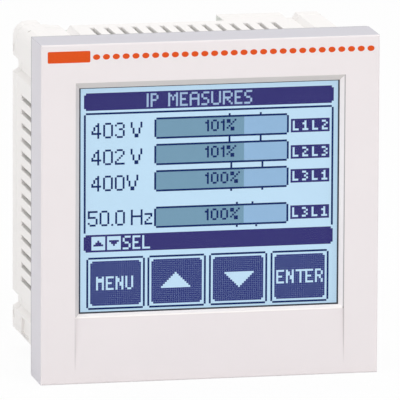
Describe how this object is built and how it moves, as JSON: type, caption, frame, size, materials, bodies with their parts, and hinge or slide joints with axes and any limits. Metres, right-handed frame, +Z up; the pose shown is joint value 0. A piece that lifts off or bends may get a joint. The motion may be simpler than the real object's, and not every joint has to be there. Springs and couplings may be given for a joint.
{
  "type": "panel protection relay",
  "caption": "Square panel-mounted protection relay with a touch display, a vented housing with clip grooves, and plug-in screw terminals at the back.",
  "frame": {"origin": "under the middle of the relay, at the foot of the bezel", "axes": "+X to the right as seen from the front, +Y from the front face to the back, +Z up"},
  "size_m": [0.096, 0.054, 0.096],
  "materials": {
    "bezel": "fine matte moulded plastic",
    "seal": "closed-cell foam",
    "touch_glass": "clear, lightly glossy",
    "display": "lit pale blue display with dark blue picture",
    "clear": "clear plastic",
    "steel": "plated steel",
    "shell": "off-white matte moulded plastic",
    "board": "green laminate",
    "black_plastic": "black",
    "relay_case": "blue case",
    "winding": "yellow tape",
    "socket": "dark green",
    "plug": "green",
    "terminal_screw": "zinc plated steel"
  },
  "bodies": {
    "relay": {"bezel": "bezel", "panel_seal": "seal", "touch_seal": "seal", "touch_panel": "touch_glass", "lcd_panel": "display", "light_guide": "clear", "fuse": "clear", "lcd_frame": "steel", "transformer_core": "steel", "backup_cell": "steel", "cover_screw_1": "steel", "cover_screw_2": "steel", "cover_screw_3": "steel", "cover_screw_4": "steel", "housing": "shell", "rear_cover": "shell", "display_board": "board", "main_board": "board", "power_board": "board", "display_link": "black_plastic", "board_link": "black_plastic", "processor": "black_plastic", "supply_capacitor_1": "black_plastic", "supply_capacitor_2": "black_plastic", "expansion_connector_1": "black_plastic", "expansion_connector_2": "black_plastic", "output_relay_1": "relay_case", "output_relay_2": "relay_case", "transformer_winding": "winding", "voltage_socket": "socket", "supply_socket": "socket", "relay_socket": "socket", "input_socket": "socket"},
    "voltage_connector": {"voltage_plug": "plug"},
    "voltage_terminal_1": {"voltage_screw_1": "terminal_screw"},
    "voltage_terminal_2": {"voltage_screw_2": "terminal_screw"},
    "voltage_terminal_3": {"voltage_screw_3": "terminal_screw"},
    "voltage_terminal_4": {"voltage_screw_4": "terminal_screw"},
    "supply_connector": {"supply_plug": "plug"},
    "supply_terminal_1": {"supply_screw_1": "terminal_screw"},
    "supply_terminal_2": {"supply_screw_2": "terminal_screw"},
    "relay_connector": {"relay_plug": "plug"},
    "relay_terminal_1": {"relay_screw_1": "terminal_screw"},
    "relay_terminal_2": {"relay_screw_2": "terminal_screw"},
    "relay_terminal_3": {"relay_screw_3": "terminal_screw"},
    "relay_terminal_4": {"relay_screw_4": "terminal_screw"},
    "relay_terminal_5": {"relay_screw_5": "terminal_screw"},
    "relay_terminal_6": {"relay_screw_6": "terminal_screw"},
    "input_connector": {"input_plug": "plug"},
    "input_terminal_1": {"input_screw_1": "terminal_screw"},
    "input_terminal_2": {"input_screw_2": "terminal_screw"},
    "input_terminal_3": {"input_screw_3": "terminal_screw"},
    "input_terminal_4": {"input_screw_4": "terminal_screw"},
    "slot_blank_1": {"slot_cover_1": "shell"},
    "slot_blank_2": {"slot_cover_2": "shell"}
  },
  "joints": [
    {"name": "voltage_plug_pull", "type": "slide", "parent": "relay", "child": "voltage_connector", "axis": [0, 1, 0], "range_m": [0, 0.015]},
    {"name": "voltage_screw_1_turn", "type": "hinge", "parent": "voltage_connector", "child": "voltage_terminal_1", "pos_m": [-0.02669, 0.0226, 0.0878], "axis": [0, 0, 1], "continuous": true},
    {"name": "voltage_screw_2_turn", "type": "hinge", "parent": "voltage_connector", "child": "voltage_terminal_2", "pos_m": [-0.01907, 0.0226, 0.0878], "axis": [0, 0, 1], "continuous": true},
    {"name": "voltage_screw_3_turn", "type": "hinge", "parent": "voltage_connector", "child": "voltage_terminal_3", "pos_m": [-0.01145, 0.0226, 0.0878], "axis": [0, 0, 1], "continuous": true},
    {"name": "voltage_screw_4_turn", "type": "hinge", "parent": "voltage_connector", "child": "voltage_terminal_4", "pos_m": [-0.00383, 0.0226, 0.0878], "axis": [0, 0, 1], "continuous": true},
    {"name": "supply_plug_pull", "type": "slide", "parent": "relay", "child": "supply_connector", "axis": [0, 1, 0], "range_m": [0, 0.015]},
    {"name": "supply_screw_1_turn", "type": "hinge", "parent": "supply_connector", "child": "supply_terminal_1", "pos_m": [0.00452, 0.0226, 0.0878], "axis": [0, 0, 1], "continuous": true},
    {"name": "supply_screw_2_turn", "type": "hinge", "parent": "supply_connector", "child": "supply_terminal_2", "pos_m": [0.0096, 0.0226, 0.0878], "axis": [0, 0, 1], "continuous": true},
    {"name": "relay_plug_pull", "type": "slide", "parent": "relay", "child": "relay_connector", "axis": [0, 1, 0], "range_m": [0, 0.015]},
    {"name": "relay_screw_1_turn", "type": "hinge", "parent": "relay_connector", "child": "relay_terminal_1", "pos_m": [-0.02796, 0.0226, 0.0082], "axis": [0, 0, -1], "continuous": true},
    {"name": "relay_screw_2_turn", "type": "hinge", "parent": "relay_connector", "child": "relay_terminal_2", "pos_m": [-0.02288, 0.0226, 0.0082], "axis": [0, 0, -1], "continuous": true},
    {"name": "relay_screw_3_turn", "type": "hinge", "parent": "relay_connector", "child": "relay_terminal_3", "pos_m": [-0.0178, 0.0226, 0.0082], "axis": [0, 0, -1], "continuous": true},
    {"name": "relay_screw_4_turn", "type": "hinge", "parent": "relay_connector", "child": "relay_terminal_4", "pos_m": [-0.01272, 0.0226, 0.0082], "axis": [0, 0, -1], "continuous": true},
    {"name": "relay_screw_5_turn", "type": "hinge", "parent": "relay_connector", "child": "relay_terminal_5", "pos_m": [-0.00764, 0.0226, 0.0082], "axis": [0, 0, -1], "continuous": true},
    {"name": "relay_screw_6_turn", "type": "hinge", "parent": "relay_connector", "child": "relay_terminal_6", "pos_m": [-0.00256, 0.0226, 0.0082], "axis": [0, 0, -1], "continuous": true},
    {"name": "input_plug_pull", "type": "slide", "parent": "relay", "child": "input_connector", "axis": [0, 1, 0], "range_m": [0, 0.015]},
    {"name": "input_screw_1_turn", "type": "hinge", "parent": "input_connector", "child": "input_terminal_1", "pos_m": [0.00452, 0.0226, 0.0082], "axis": [0, 0, -1], "continuous": true},
    {"name": "input_screw_2_turn", "type": "hinge", "parent": "input_connector", "child": "input_terminal_2", "pos_m": [0.0096, 0.0226, 0.0082], "axis": [0, 0, -1], "continuous": true},
    {"name": "input_screw_3_turn", "type": "hinge", "parent": "input_connector", "child": "input_terminal_3", "pos_m": [0.01468, 0.0226, 0.0082], "axis": [0, 0, -1], "continuous": true},
    {"name": "input_screw_4_turn", "type": "hinge", "parent": "input_connector", "child": "input_terminal_4", "pos_m": [0.01976, 0.0226, 0.0082], "axis": [0, 0, -1], "continuous": true},
    {"name": "slot_cover_1_pull", "type": "slide", "parent": "relay", "child": "slot_blank_1", "axis": [0, 1, 0], "range_m": [0, 0.01]},
    {"name": "slot_cover_2_pull", "type": "slide", "parent": "relay", "child": "slot_blank_2", "axis": [0, 1, 0], "range_m": [0, 0.01]}
  ]
}
